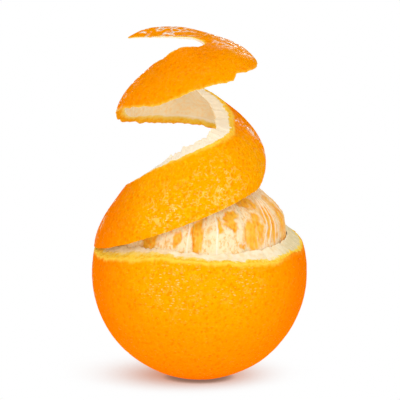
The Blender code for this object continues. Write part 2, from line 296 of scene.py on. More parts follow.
def wax_and_glint_map(points):
    """How polished the zest is and how strong its painted highlights, 0 to 1: nearest patch, lumps round the
    back, crest.
    """
    turn = np.degrees(np.arctan2(points[..., 1], points[..., 0])) % 360.0
    height = points[..., 2]
    shine_and_glints = np.full(turn.shape, DULL_WAX)
    for at_turn, at_height, half_turn, half_height, strength in POLISH_AND_GLINT_PATCHES:
        around = (turn - at_turn + 180.0) % 360.0 - 180.0
        off = np.hypot(around / half_turn, (height - at_height) / half_height)
        shine_and_glints = np.maximum(shine_and_glints, strength * ease(POLISH_ENDS - off))
    wild = BACK_WAX * ease(0.2 + 1.4 * lumps(points, BACK_WAX_SIZE, 4))
    behind = ease((points[..., 1] - BACK_STARTS) / BACK_BLENDS)
    shine_and_glints += (wild - shine_and_glints) * behind
    arch = height + (points[..., 0] + CREST_LEFT) ** 2 / CREST_SPAN
    crest = ease((arch - CREST_LOW) / (CREST_HIGH - CREST_LOW))
    crest *= 1.0 - FOLD_DULLS * np.exp(-(((points[..., 0] - FOLD_AT) / FOLD_HALF) ** 2))
    return np.maximum(shine_and_glints, crest)


LOWER_EDGE = cylindrical(*np.array([lower for lower, upper in RIBBON], float).T)
UPPER_EDGE = cylindrical(*np.array([upper for lower, upper in RIBBON], float).T)


def taper(values, station):
    """Straight lines between the values that a list gives along the ribbon."""
    return np.interp(station, TAPER_AT, values)


def ribbon_point(station, across):
    """The zest at a station, across 0 at the ribbon's lower edge and 1 at its upper edge.

    A chord between the two edges, plus a crown of 4 a (1 - a), leaning, along the ribbon's outward normal.
    At the root it runs into the ball.
    """
    lower = through(LOWER_EDGE, station)
    upper = through(UPPER_EDGE, station)
    before = np.clip(station - STEP, 0.0, LAST)
    after = np.clip(station + STEP, 0.0, LAST)
    along = np.zeros_like(lower)
    for edge in (LOWER_EDGE, UPPER_EDGE):
        run = through(edge, after) - through(edge, before)
        along += run / np.linalg.norm(run, axis=1, keepdims=True)
    outward = np.cross(along, upper - lower)
    outward /= np.linalg.norm(outward, axis=1, keepdims=True)
    crown = 4.0 * across * (1.0 - across) * (1.0 + CROWN_LEAN * (1.0 - 2.0 * across))
    crown = crown * taper(CROWN, station)[:, None]
    chord = lower[:, None] + (upper - lower)[:, None] * across[..., None]
    lifted = chord + crown[..., None] * outward[:, None]
    turn = CUT_END + ROOT_TURN * station[:, None] + 0.0 * across
    latitude = RIM[0][0] + (RIM[-1][0] - RIM[0][0]) * across
    away = ease(station / ROOT_STATIONS)[:, None, None]
    return lifted * away + on_ball(ORANGE_RADIUS, turn, latitude) * (1.0 - away)


def ribbon_normal(station, across):
    """The outward normal: across the slope along the ribbon and the slope up it."""
    middle = np.clip(station, STEP, LAST - STEP)
    along = ribbon_point(middle + STEP, across) - ribbon_point(middle - STEP, across)
    up = ribbon_point(station, across + STEP) - ribbon_point(station, across - STEP)
    outward = np.cross(along, up)
    return outward / np.linalg.norm(outward, axis=2, keepdims=True)


def even_stations(count):
    """Stations at even lengths along the ribbon's middle."""
    fine = np.linspace(0.0, LAST, 40 * LAST + 1)
    middle = ribbon_point(fine, np.full((len(fine), 1), 0.5))[:, 0]
    run = np.concatenate([[0.0], np.cumsum(np.linalg.norm(np.diff(middle, axis=0), axis=1))])
    return np.interp(np.linspace(0.0, run[-1], count), run, fine)


def ragged(points, amount, seed):
    """How far a cut edge strays, in millimetres: lumps of four sizes, the finer the smaller."""
    return amount * layered(points, EDGE_STRAY, seed)


def ribbon_sheets():
    """The ribbon's zest and pith, each columns by rows, with the zest's distance from the cut edges.

    The knife was held slantwise, so the pith starts higher than the zest and also ends higher. An edge's
    stray dies away across the ribbon by the fifth power of the share that is left.
    """
    station = even_stations(RIBBON_COLUMNS)
    past_tear = station - NOTCH_STATION
    tear = ease(past_tear / NOTCH_LENGTH) - np.clip(past_tear / NOTCH_REACH + NOTCH_LEAD, 0.0, 1.0)
    tear *= NOTCH_RISE
    edges = ribbon_point(station, np.stack([tear, np.ones_like(tear)], axis=1))
    width = np.maximum(np.linalg.norm(edges[:, 1] - edges[:, 0], axis=1), NARROWEST)
    low_stray = ragged(edges[:, 0], taper(LOWER_RAGGED, station), 10) / width
    high_stray = ragged(edges[:, 1], taper(UPPER_RAGGED, station), 20) / width

    rows = np.linspace(0.0, 1.0, RIBBON_ROWS)[None, :]
    across = tear[:, None] + (1.0 - tear)[:, None] * rows
    across = across + low_stray[:, None] * (1.0 - rows) ** 5 + high_stray[:, None] * rows**5
    from_low = rows * width[:, None] - taper(LOWER_GLOW, station)[:, None]
    from_high = (1.0 - rows) * width[:, None] - taper(UPPER_GLOW, station)[:, None]
    margin = np.minimum(from_low, from_high)
    zest, pit = skin(ribbon_point(station, across), ribbon_normal(station, across))

    pith_stray = taper(PITH_RAGGED, station)
    low = tear + np.minimum(taper(LOWER_SLANT, station) / width, WIDEST_SLANT)
    high = 1.0 + np.minimum(taper(UPPER_SLANT, station) / width, WIDEST_SLANT)
    at_root = 1.0 - ease(station / ROOT_STATIONS)
    climb = RIM[-1][0] - RIM[0][0]
    low += at_root * ((RIM[0][1] - RIM[0][0]) / climb - low)
    high += at_root * (1.0 + (RIM[-1][1] - RIM[-1][0]) / climb - high)
    low += ragged(edges[:, 0], 0.5 * pith_stray, 30) / width
    high += ragged(edges[:, 1], pith_stray, 40) / width
    rows = np.linspace(0.0, 1.0, PITH_RIBBON_ROWS)[None, :]
    across = low[:, None] + (high - low)[:, None] * rows
    flat = ribbon_point(station, across)
    depth = taper(THICKNESS, station)[:, None] + layered(flat, PITH_WAVES, 50)
    pith = flat - ribbon_normal(station, across) * depth[..., None]

    zest[-1] = zest[-1].mean(axis=0)
    pith[-1] = pith[-1].mean(axis=0)
    return station, zest, pit, margin, pith


def rim_latitude(turn, side):
    """The latitude of the cup's zest edge (side 0) or pith edge (side 1), with its raggedness."""
    past_cut = turn - CUT_END
    smooth = through(np.array(RIM, float)[:, side : side + 1], past_cut / RIM_STEP)[:, 0]
    point = on_ball(ORANGE_RADIUS, turn, smooth)
    rough = RIM_RAGGED[side] * ease(past_cut / RIM_ROUGHENS) * ease((360.0 - past_cut) / RIM_ROUGHENS)
    stray = ragged(point, rough, 60 + 10 * side)
    torn = 0.0 * turn
    for at_turn, half_turn, rise in TORN:
        torn = torn + side * rise * np.exp(-(((turn - at_turn) / half_turn) ** 2))
    return smooth + np.degrees((stray + torn) / ORANGE_RADIUS)


def cup_sheets():
    """The cup's zest and pith, each columns by rows from the middle of its bottom up to the rim."""
    turn = CUT_END + np.linspace(0.0, 360.0, CUP_COLUMNS, endpoint=False)
    bottom = -math.degrees(math.asin(CENTRE_HEIGHT / ORANGE_RADIUS))
    top = rim_latitude(turn, 0)
    rows = np.linspace(0.0, 1.0, CUP_ROWS)[None, :]
    smooth_top = through(np.array(RIM, float)[:, :1], (turn - CUT_END) / RIM_STEP)
    latitude = bottom + (smooth_top - bottom) * rows + (top[:, None] - smooth_top) * rows**12
    ball = on_ball(ORANGE_RADIUS, turn[:, None] + 0.0 * latitude, latitude)
    outward = ball / ORANGE_RADIUS
    zest, pit = skin(ball, outward)
    zest[..., 2] = np.maximum(zest[..., 2], -CENTRE_HEIGHT)
    margin = np.radians(top[:, None] - latitude) * ORANGE_RADIUS

    reach = np.linspace(0.0, 1.0, FLAT_ROWS, endpoint=False)[None, :, None]
    pole = np.array([0.0, 0.0, -CENTRE_HEIGHT])
    flat = pole + (zest[:, :1] - pole) * reach
    zest = np.concatenate([flat, zest], axis=1)
    pit = np.concatenate([np.zeros(flat.shape[:2]), pit], axis=1)
    margin = np.concatenate([np.full(flat.shape[:2], margin.max()), margin], axis=1)

    pith_top = rim_latitude(turn, 1)
    rows = np.linspace(0.0, 1.0, PITH_CUP_ROWS)[None, :] ** 0.5
    latitude = -90.0 + (pith_top[:, None] + 90.0) * rows
    ball = on_ball(PITH_RADIUS, turn[:, None] + 0.0 * latitude, latitude)
    lean = LIP_LEAN + SHRED_LEAN * np.exp(-(((turn[:, None] - LEAN_TURN) / LEAN_WIDTH) ** 2))
    lean = lean / PITH_RADIUS * rows**16
    dimples = CUP_PITH_SHARE * (1.0 + lumps(ball, CUP_PITH_SIZE, 52))
    pith = ball * (1.0 - lean + dimples)[..., None]
    return turn, zest, pit, margin, pith


def stitch(left, right, height):
    """Triangles between two columns of unlike counts that start at one place, by height."""
    faces = []
    i = 0
    j = 0
    while i < len(left) - 1 or j < len(right) - 1:
        left_next = j == len(right) - 1
        if not left_next and i < len(left) - 1:
            left_next = height[left[i + 1]] <= height[right[j + 1]]
        if left_next:
            faces.append((left[i], right[j], left[i + 1]))
            i += 1
        else:
            faces.append((left[i], right[j], right[j + 1]))
            j += 1
    return faces


def grid_faces(grid):
    """Quads between the neighbours of an array of vertex numbers."""
    corners = (grid[:-1, :-1], grid[1:, :-1], grid[1:, 1:], grid[:-1, 1:])
    return np.stack(corners, axis=-1).reshape(-1, 4).tolist()


def number_side(first, cup, ribbon):
    """Vertex numbers of one side of the peel, whose ribbon starts where the cup's first column ends."""
    on_cup = first + np.arange(cup.shape[0] * cup.shape[1]).reshape(cup.shape[:2])
    start = first + on_cup.size
    on_ribbon = start + np.arange(ribbon.shape[0] * ribbon.shape[1]).reshape(ribbon.shape[:2])
    on_ribbon[0, 0] = on_cup[0, -1]
    return on_cup, on_ribbon


def side_faces(on_cup, on_ribbon, height):
    """One side's faces. The cup's last column is stitched to its first and to the ribbon's root."""
    root = np.concatenate([on_cup[0], on_ribbon[0, 1:]])
    seam = stitch(on_cup[-1].tolist(), root.tolist(), height)
    return grid_faces(on_cup) + grid_faces(on_ribbon) + [tuple(face) for face in seam]


def cut_edge(on_cup, on_ribbon):
    """The way round a side's cut edge: down the ribbon's lower edge, round the rim, up the upper edge."""
    return np.concatenate([on_ribbon[:0:-1, 0], on_cup[:, -1], on_ribbon[:, -1]])


def cut_face(zest_edge, pith_edge):
    """Rows between the two edges: straight lines, roughened across the cut by small lumps."""
    share = np.linspace(0.0, 1.0, CUT_ROWS + 1)[1:-1][None, :, None]
    rows = zest_edge[:, None] + (pith_edge - zest_edge)[:, None] * share
    along = np.roll(zest_edge, -1, axis=0) - np.roll(zest_edge, 1, axis=0)
    across = np.cross(along, pith_edge - zest_edge)
    across /= np.maximum(np.linalg.norm(across, axis=1, keepdims=True), 1e-6)
    rough = layered(rows, CUT_LUMPS, 70)
    thick = np.linalg.norm(pith_edge - zest_edge, axis=1, keepdims=True)
    return rows + across[:, None] * (rough * np.minimum(thick / PEEL_THICKNESS, 1.0))[..., None]


def new_mesh(name, points, faces, marks=None, sharp=None):
    """A mesh in the frame's place from points in millimetres, its doubles merged, with numbers to carry."""
    mesh = bpy.data.meshes.new(name)
    place = (np.asarray(points) + (0.0, 0.0, CENTRE_HEIGHT)) * MM
    mesh.from_pydata(place.tolist(), [], faces)
    for mark, values in (marks or {}).items():
        carried = mesh.attributes.new(mark, "FLOAT", "POINT")
        carried.data.foreach_set("value", np.ravel(values).astype(np.float32))
    shape = bmesh.new()
    shape.from_mesh(mesh)
    bmesh.ops.delete(shape, geom=[v for v in shape.verts if not v.link_faces], context="VERTS")
    bmesh.ops.remove_doubles(shape, verts=shape.verts[:], dist=2e-6)
    bmesh.ops.recalc_face_normals(shape, faces=shape.faces[:])
    shape.to_mesh(mesh)
    shape.free()
    mesh.shade_smooth()
    if sharp:
        mesh.set_sharp_from_angle(angle=math.radians(sharp))
    piece = bpy.data.objects.new(name, mesh)
    bpy.context.scene.collection.objects.link(piece)
    return piece


def peel_piece():
    """Both sides of the cup and the ribbon, and the cut face that runs round their free edge."""
    turn, cup, cup_pit, cup_margin, pith_cup = cup_sheets()
    station, ribbon, ribbon_pit, ribbon_margin, pith_ribbon = ribbon_sheets()
    zest_count = cup.shape[0] * cup.shape[1] + ribbon.shape[0] * ribbon.shape[1]
    pith_count = pith_cup.shape[0] * pith_cup.shape[1] + pith_ribbon.shape[0] * pith_ribbon.shape[1]
    zest_cup_at, zest_ribbon_at = number_side(0, cup, ribbon)
    pith_cup_at, pith_ribbon_at = number_side(zest_count, pith_cup, pith_ribbon)
    sides = [cup, ribbon, pith_cup, pith_ribbon]
    points = np.concatenate([side.reshape(-1, 3) for side in sides])
    faces = side_faces(zest_cup_at, zest_ribbon_at, points[:, 2].tolist())
    faces += [face[::-1] for face in side_faces(pith_cup_at, pith_ribbon_at, points[:, 2].tolist())]

    zest_edge = cut_edge(zest_cup_at, zest_ribbon_at)
    pith_edge = cut_edge(pith_cup_at, pith_ribbon_at)
    rows = cut_face(points[zest_edge], points[pith_edge])
    rows_at = len(points) + np.arange(rows.shape[0] * rows.shape[1]).reshape(rows.shape[:2])
    faces += grid_faces(np.concatenate([zest_edge[:, None], rows_at, pith_edge[:, None]], axis=1))
    points = np.concatenate([points, rows.reshape(-1, 3)])

    # What the material needs to know: how deep in the rind a point lies, how thick the zest layer shows on
    # the cut, how far the nearest cut edge is, and where the pits are.
    rim_rind = np.interp(turn, RIM_RIND_AT, RIM_RIND)
    lower_rind = taper(LOWER_RIND, station)
    upper_rind = taper(UPPER_RIND, station)
    cut_rind = np.concatenate([lower_rind[:0:-1], rim_rind, upper_rind])
    share = np.linspace(0.0, 1.0, CUT_ROWS + 1)[1:-1]
    rind = np.ones(len(points))
    rind[zest_edge] = cut_rind
    rind[pith_edge] = cut_rind
    rind[rows_at] = cut_rind[:, None]
    not_zest = np.zeros(pith_count + rows_at.size)
    marks = {
        "depth": np.concatenate([np.zeros(zest_count), np.ones(pith_count), np.tile(share, len(rows))]),
        "rind": rind,
        "margin": np.concatenate([cup_margin.ravel(), ribbon_margin.ravel(), not_zest]),
        "pit": np.concatenate([cup_pit.ravel(), ribbon_pit.ravel(), not_zest]),
        # How polished the wax is, and how strong the painted highlights on it are.
        "wax_and_glints": np.concatenate([wax_and_glint_map(cup).ravel(), wax_and_glint_map(ribbon).ravel(), not_zest]),
    }
    return new_mesh("peel", points, faces, marks, SHARP_CUT)


class Dye:
    """A value or colour inside a material. Operators on it add the nodes that work it out."""

    tree = None

    def __init__(self, socket):
        self.socket = socket

    @classmethod
    def node(cls, kind, settings=None, inputs=None, output=0):
        """Adds a node of one kind: its settings come first, then the values or links of its sockets."""
        made = cls.tree.nodes.new(kind)
        for name, value in (settings or {}).items():
            setattr(made, name, value)
        for name, value in (inputs or {}).items():
            if isinstance(value, cls):
                cls.tree.links.new(value.socket, made.inputs[name])
            else:
                made.inputs[name].default_value = value
        return cls(made.outputs[output])

    def math(self, operation, other):
        """A Math node's operation on this and another."""
        return Dye.node("ShaderNodeMath", {"operation": operation}, {0: self, 1: other})

    def __add__(self, other):
        return self.math("ADD", other)

    def __mul__(self, other):
        return self.math("MULTIPLY", other)

    def __truediv__(self, other):
        return self.math("DIVIDE", other)

    def __sub__(self, other):
        return self.math("SUBTRACT", other)

    def __rsub__(self, other):
        return Dye.node("ShaderNodeMath", {"operation": "SUBTRACT"}, {0: other, 1: self})

    __radd__ = __add__
    __rmul__ = __mul__

    def between(self, low, high):
        """0 below the low value and 1 above the high one, eased in between."""
        limits = {"Value": self, "From Min": low, "From Max": high}
        return Dye.node("ShaderNodeMapRange", {"interpolation_type": "SMOOTHSTEP"}, limits)

    def blend(self, first, second):
        """One colour where this is 0 and another where it is 1."""
        return Dye.node("ShaderNodeMix", {"data_type": "RGBA"}, {0: self, 6: first, 7: second}, output=2)


def colour(red, green, blue):
    """A linear colour from the 0 to 255 of a screen."""
    channels = [value / 255.0 for value in (red, green, blue)]
    return tuple(c / 12.92 if c < 0.04045 else ((c + 0.055) / 1.055) ** 2.4 for c in channels) + (1.0,)


def mark(name):
    """A number that the mesh carries."""
    return Dye.node("ShaderNodeAttribute", {"attribute_name": name}, output=2)


def place():
    """Where a point lies on its piece, in metres."""
    return Dye.node("ShaderNodeTexCoord", output=3)


def axis(number):
    """The place along one axis: 0 to the right, 1 to the back, 2 up."""
    return Dye.node("ShaderNodeSeparateXYZ", inputs={0: place()}, output=number)


def scaled(vector, by):
    """A place scaled along its axes: a pattern read there comes out the shorter, the larger the scale."""
    return Dye.node("ShaderNodeVectorMath", {"operation": "MULTIPLY"}, {0: vector, 1: by})


def noise(size, detail=2.0, where=None):
    """Cloudy noise from 0 to 1, its lumps about as large as the size in millimetres."""
    inputs = {"Vector": where or place(), "Scale": 1.0 / (size * MM), "Detail": detail}
    return Dye.node("ShaderNodeTexNoise", inputs=inputs)


def cells(size, where=None, feature="F1"):
    """Distance to the middle of the nearest cell, cells being about as large as the size in millimetres."""
    inputs = {"Vector": where or place(), "Scale": 1.0 / (size * MM)}
    return Dye.node("ShaderNodeTexVoronoi", {"feature": feature}, inputs)


def finish_surface(name, base, roughness, height, lift, constants, coat=None):
    """Joins up a material's Principled surface. The lift is how far the height stands, in millimetres."""
    made = bpy.data.materials[name]
    shader = made.node_tree.nodes["Principled BSDF"]
    bump = Dye.node("ShaderNodeBump", inputs={"Strength": 1.0, "Distance": lift * MM, "Height": height})
    varied = {"Base Color": base, "Roughness": roughness, "Normal": bump}
    if coat:
        varied["Coat Weight"] = coat
    for socket, value in varied.items():
        made.node_tree.links.new(value.socket, shader.inputs[socket])
    for socket, value in constants.items():
        shader.inputs[socket].default_value = value


def start_material(name):
    """A new material, whose nodes the next expressions add."""
    made = bpy.data.materials.new(name)
    made.use_nodes = True
    Dye.tree = made.node_tree


# The deepest zest colour is painted shade at the sides; the lighter ones are painted light in front.
ZEST_SIDE_SHADE = colour(255, 130, 0)
ZEST_LOW = colour(255, 144, 0)
ZEST_MIDDLE = colour(255, 147, 0)
ZEST_PAINTED_LIT = colour(255, 165, 0)
ZEST_GLINT_FLECK = colour(255, 196, 20)
PIT_COLOUR = colour(252, 112, 0)
YELLOW_GLINT_COLOUR = colour(255, 208, 90)
WHITE_GLINT_COLOUR = colour(255, 240, 220)
OIL_YELLOW = colour(255, 213, 76)
OIL_ORANGE = colour(255, 188, 30)
OIL_DEEP = colour(252, 158, 0)
OIL_PALE = colour(253, 220, 104)
PITH = colour(254, 241, 212)
PITH_SHADE = colour(249, 224, 176)
PITH_UP_COIL = colour(255, 249, 232)
PITH_TIP = colour(250, 226, 204)
PITH_SHADE_RIGHT = colour(228, 212, 166)
PITH_INNER = colour(255, 240, 206)
PITH_SPOTS = colour(255, 228, 176)
SUBSURFACE = (0.004, 0.002, 0.001)

# Where painted light, shade and highlights change from none to all. Heights are above the ground, all in
# metres.
NEARS_FRONT = (0.012, 0.04)
PAST_LIMB = (-0.016, -0.004)
AT_LIMB = (0.012, 0.002)
FAR_RIGHT = (0.026, 0.034)
FOOT_TONE = (0.03, 0.0)
CUP_BRIGHTENS = (-0.025, 0.05)
COIL_STARTS = (0.05, 0.056)
COIL_FLANK_LIT = (0.055, 0.08)
CAP_DIMS = (0.08, 0.1)
CAP_FLANK_LIT = (0.085, 0.1)
CAP_TONE = (0.09, 0.112)
CREST_STARTS = ((CREST_LOW + CENTRE_HEIGHT) * MM, (CREST_HIGH + CENTRE_HEIGHT) * MM)


def zest_ground(right, front, height):
    """The zest's ground: painted shade at the sides and back, less at foot and cap, painted light in front,
    and dark pits.
    """
    # Painted light also reaches the coil's right flank and the cap's right, which count as facing the front.
    lean = height.between(*COIL_FLANK_LIT) * (right.between(0.0, 0.025) * 0.017 + 0.014)
    lean = lean + height.between(*CAP_FLANK_LIT) * right.between(0.0, 0.02) * 0.012
    facing = (front + lean).between(*NEARS_FRONT)
    ends = height.between(*FOOT_TONE) + height.between(*CAP_TONE)
    # Painted light: lighter facing the front and up the cup, a little less on the cap, with random mottling.
    painted_light = height.between(*CUP_BRIGHTENS) * facing * (1.0 - height.between(*CAP_DIMS) * 0.3)
    painted_light = painted_light + (noise(14.0, 3.0) - 0.5) * 0.3
    # Painted shade: deepest where the zest faces away from the front, less at the foot and the cap.
    zest = facing.math("MAXIMUM", ends).blend(ZEST_SIDE_SHADE, ZEST_LOW)
    zest = painted_light.between(0.0, 0.6).blend(zest, ZEST_MIDDLE)
    zest = painted_light.between(0.5, 1.0).blend(zest, ZEST_PAINTED_LIT)
    zest = (mark("pit").between(0.15, 0.9) * 0.48).blend(zest, PIT_COLOUR)
    zest = (cells(0.95).between(0.34, 0.14) * 0.32).blend(zest, PIT_COLOUR)
    # Painted highlights: pale flecks on the front only, the most on the first turn.
    first_turn = height.between(0.03, 0.055) * height.between(0.1, 0.08)
    glint_flecks = noise(1.2, 2.0).between(0.5, 0.7) * facing * (first_turn * 0.38 + 0.15)
    return glint_flecks.blend(zest, ZEST_GLINT_FLECK)


def zest_ridges(height):
    """Waxy ridges between the pits, where highlights are painted, 0 to 1: broken rings on the coil, short
    dashes all over.
    """
    wander = Dye.node("ShaderNodeTexNoise", inputs={"Vector": place(), "Scale": 550.0}, output=1)
    swayed = {0: wander, 1: (0.7 * MM,) * 3, 2: place()}
    swayed = Dye.node("ShaderNodeVectorMath", {"operation": "MULTIPLY_ADD"}, swayed)
    rings = 1.0 - cells(1.8, swayed, "DISTANCE_TO_EDGE").between(0.04, 0.2)
    rings = rings * noise(2.6, 2.0).between(0.49, 0.63)
    dashes = cells(1.15, scaled(place(), (0.6, 0.6, 1.3))).between(0.34, 0.16)
    dashes = dashes * noise(2.2, 2.0).between(0.38, 0.53)
    return dashes.math("MAXIMUM", rings * (height.between(*COIL_STARTS) * 0.55 + 0.2))


def crest_streaks(along, front, arch):
    """The ridges of the cap's crest, 0 to 1: they draw out into painted highlight streaks that follow its
    arch.
    """
    followed = Dye.node("ShaderNodeCombineXYZ", inputs={0: along * 0.35, 1: front * 0.35, 2: arch})
    streaks = 1.0 - cells(1.1, followed, "DISTANCE_TO_EDGE").between(0.03, 0.17)
    return streaks * noise(1.4, 1.0, followed).between(0.44, 0.6)


def pith_colour(depth, right, height):
    """Cream pith in cloudy patches: painted shade at the rim's right, whiter up the coil, warm and spotted
    inside.
    """
    pith = noise(2.4, 3.0).between(0.35, 0.75).blend(PITH, PITH_SHADE)
    pith = (noise(7.0).between(0.45, 0.8) * 0.5).blend(pith, PITH_SHADE)
    # Painted shade: the rim's pith is darker and greener at the far right.
    right_shade = right.between(*FAR_RIGHT) * height.between(0.07, 0.06)
    right_shade = right_shade * (noise(1.3, 3.0).between(0.3, 0.6) * 0.5 + 0.5)
    pith = right_shade.blend(pith, PITH_SHADE_RIGHT)
    # The pith is whiter up the coil.
    pith = (height.between(0.072, 0.085) * 0.8).blend(pith, PITH_UP_COIL)
    pith = height.between(0.117, 0.121).blend(pith, PITH_TIP)
    inner = noise(1.3, 4.0).between(0.4, 0.7).blend(PITH_INNER, PITH_SPOTS)
    return depth.between(0.9, 1.0).blend(pith, inner)


def cut_colour(depth, pith):
    """The cut face: oily zest layer, ragged where it ends, then a pale line, then pith."""
    rind = mark("rind")
    ragged_layer = (rind * 3.6).math("MINIMUM", 1.1)
    layer = (depth + (noise(1.5, 4.0) - 0.5) * ragged_layer * (1.0 - depth)) / rind
    thin_oil = noise(1.0, 2.0).between(0.35, 0.7).blend(OIL_YELLOW, OIL_ORANGE)
    thick_oil = noise(1.2, 2.0).between(0.35, 0.65).blend(OIL_DEEP, OIL_ORANGE)
    oil = rind.between(0.6, 0.9).blend(thin_oil, thick_oil)
    oil = layer.between(0.4, 1.0).blend(oil, OIL_PALE)
    all_pith = layer.between(0.7, 1.5) + depth.between(0.9, 1.0)
    return all_pith.between(0.0, 1.0).blend(oil, pith)


def rind_material():
    """Zest outside, with polished wax and painted highlights on its ridges, and the cut face and the pith
    under it.
    """
    start_material("rind")
    right = axis(0)
    front = 0.0 - axis(1)
    height = axis(2)
    depth = mark("depth")
    inside = depth.between(0.0, 0.08)
    # How polished the wax is, and how strong the painted highlights are.
    shine_and_glints = mark("wax_and_glints")

    along = right + CREST_LEFT * MM
    arch = height + along * along / (CREST_SPAN * MM)
    crest = arch.between(*CREST_STARTS)
    ridge = zest_ridges(height)
    ridge = ridge + (crest_streaks(along, front, arch) - ridge) * crest
    # Painted light: the cap's crest is lighter.
    zest = (crest * 0.4).blend(zest_ground(right, front, height), ZEST_PAINTED_LIT)
    # Painted highlights: yellow on polished ridges, white on the crest and at the limbs, fainter past the
    # limb.
    open_side = front.between(*PAST_LIMB)
    whiter_glint = crest.math("MAXIMUM", front.between(*AT_LIMB) * open_side)
    glint_strength = crest.math("MAXIMUM", open_side * 0.7 + 0.3)
    zest = (ridge * shine_and_glints * glint_strength).blend(zest, whiter_glint.blend(YELLOW_GLINT_COLOUR, WHITE_GLINT_COLOUR))
    near_edge = 1.0 - (mark("margin") + (noise(1.6, 3.0) - 0.5) * 2.0).between(-0.2, 1.8)
    zest = (near_edge * (0.85 - right.between(*FAR_RIGHT) * 0.7)).blend(zest, OIL_YELLOW)
    base = inside.blend(zest, cut_colour(depth, pith_colour(depth, right, height)))

    roughness = inside * 0.2 + 0.5 + (noise(0.9, 2.0) - 0.5) * 0.1
    waxy = (ridge + noise(0.55, 2.0) * 0.6) * (shine_and_glints * 0.7 + 0.3) * (1.0 - inside)
    woolly = noise(0.5, 2.0) * inside * 0.35 + noise(1.6, 3.0) * inside
    wax_and_glints = (1.0 - inside) * ridge * (1.0 - mark("pit").between(0.3, 0.8)) * shine_and_glints
    matt = {"Specular IOR Level": 0.0, "Coat Roughness": 0.19}
    finish_surface("rind", base, roughness, waxy + woolly, 0.22, matt, wax_and_glints)


peel = peel_piece()
rind_material()
peel.data.materials.append(bpy.data.materials["rind"])
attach(peel, "root")
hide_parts("orange_peel")

# ---------------------------------------------------------------------------------------------------------
# The fruit. Ten segments round the core, each juicy pulp in a thin skin. White pith still clings to them in
# patches, and amber pulp shows through where it came away with the peel.
# ---------------------------------------------------------------------------------------------------------

FRUIT_RADIUS = 35.2
SEGMENT_COUNT = 10
FIRST_MEMBRANE = 266.0
NEIGHBOUR_GAP = 0.3
CORE_RADIUS = 2.9
GROOVE = 0.03
SEGMENT_TOP = 84.3
# The skin lies this far in from the round, where a degree measures so many millimetres.
FRUIT_INSET = 0.12
MM_A_DEGREE = 0.61

# Above the rim, and away from the ribbon's root, nothing holds the fruit in and it swells a little.
SWELL = 2.8
SWELL_TURN = 330.0
SWELL_RISE = 14.0
SWELL_REACH = 42.0

# Bare patches of pulp on the open side: turn, latitude, half their width and height, and how bare they are.
# The first, at the left under the ribbon, is bare pulp and partly painted shadow of the ribbon.
BARE = [
    (235.0, 26.0, 8.0, 9.0, 0.9), (256.5, 28.5, 2.6, 7.5, 0.75), (269.5, 30.0, 4.4, 12.0, 0.95),
    (277.0, 28.0, 3.0, 7.0, 0.4), (285.0, 36.5, 1.8, 7.0, 0.85), (292.5, 38.5, 5.6, 7.5, 1.0),
    (310.0, 31.0, 8.5, 13.0, 0.75), (308.5, 24.0, 5.0, 4.5, 0.8), (300.0, 22.5, 3.2, 3.2, 0.6),
    (313.0, 48.5, 13.0, 6.0, 0.85), (326.0, 37.0, 8.5, 15.0, 0.95), (345.0, 34.0, 8.0, 16.0, 0.9),
]
# A patch is whole in its middle and fades towards its outline. The open side spreads so far each way.
PATCH_SOLID = 1.6
PATCH_FADES = 1.3
OPEN_SIDE = 290.0
OPEN_HALF = 55.0
OPEN_BLENDS = 25.0
# Lumps that blur the patches' outlines, in degrees, and that make the patches round the back.
BLUR_TURN = [(4.0, 3.0), (1.8, 2.0)]
BLUR_LATITUDE = [(4.0, 3.5), (1.8, 2.0)]
BACK_PATCHES = [(3.0, 0.6), (8.0, 1.3)]
# Thick strands of pith, each from its turn at the upper latitude to its turn at the lower one.
STRANDS = [(327.0, 317.0), (330.0, 323.0), (332.0, 329.5), (335.0, 336.0), (283.0, 281.0), (264.0, 262.5)]
STRAND_TOP = 54.0
STRAND_FOOT = 25.0
STRAND_HALF = 0.9
STRAND_WANDERS = 1.2
# Fine strands: lumps to a degree of turn, a degree of latitude, and of turn again.
COARSE_FIBRES = (0.5, 0.22, 0.05)
FINE_FIBRES = (1.1, 0.35, 0.1)
# How far the pith that still clings, its strands and its lumps stand out, in millimetres.
CLINGING_HEIGHT = 0.4
STRAND_HEIGHT = 0.3
SKIN_LUMPS = [(2.2, 0.16), (0.9, 0.08)]
SKIN_WAVE_SIZE = 9.0
SKIN_WAVE = 0.25
SKIN_LOWER = 0.2
SHOWN_FADES = 5.0

# The gap at a seam, and the grid of a segment: few rows where the cup hides it.
SEAM = 0.05
HIDDEN_ROWS = 22
SHOWN_FROM = 8.0
SHOWN_ROWS = 150
SEGMENT_COLUMNS = 55
WALL_COLUMNS = 2
SHARP_MEMBRANE = 60.0


def rim_above(points):
    """How many degrees each point lies above the cup's pith edge."""
    turn = np.degrees(np.arctan2(points[..., 1], points[..., 0]))
    past_cut = (turn - CUT_END) % 360.0
    pith_rim = np.array(RIM, float)[:, 1:]
    rim = through(pith_rim, past_cut.ravel() / RIM_STEP)[:, 0].reshape(turn.shape)
    radius = np.linalg.norm(points, axis=-1)
    return np.degrees(np.arcsin(points[..., 2] / radius)) - rim


def fruit_point(turn, latitude):
    """The fruit's outside: a ball, swollen above the rim, drawn in at its seams by side to the fourth."""
    ball = on_ball(FRUIT_RADIUS, turn, latitude)
    away = ball @ cylindrical(SWELL_TURN, 1.0, 0.0)
    proud = SWELL * ease(rim_above(ball) / SWELL_RISE) * ease(0.5 + away / SWELL_REACH)
    ball = ball * (1.0 + proud / FRUIT_RADIUS)[..., None]
    pitch = 360.0 / SEGMENT_COUNT
    side = np.abs(((turn - FIRST_MEMBRANE) / pitch) % 1.0 - 0.5) * 2.0
    ball[..., :2] *= (1.0 - GROOVE * side**4)[..., None]
    return ball


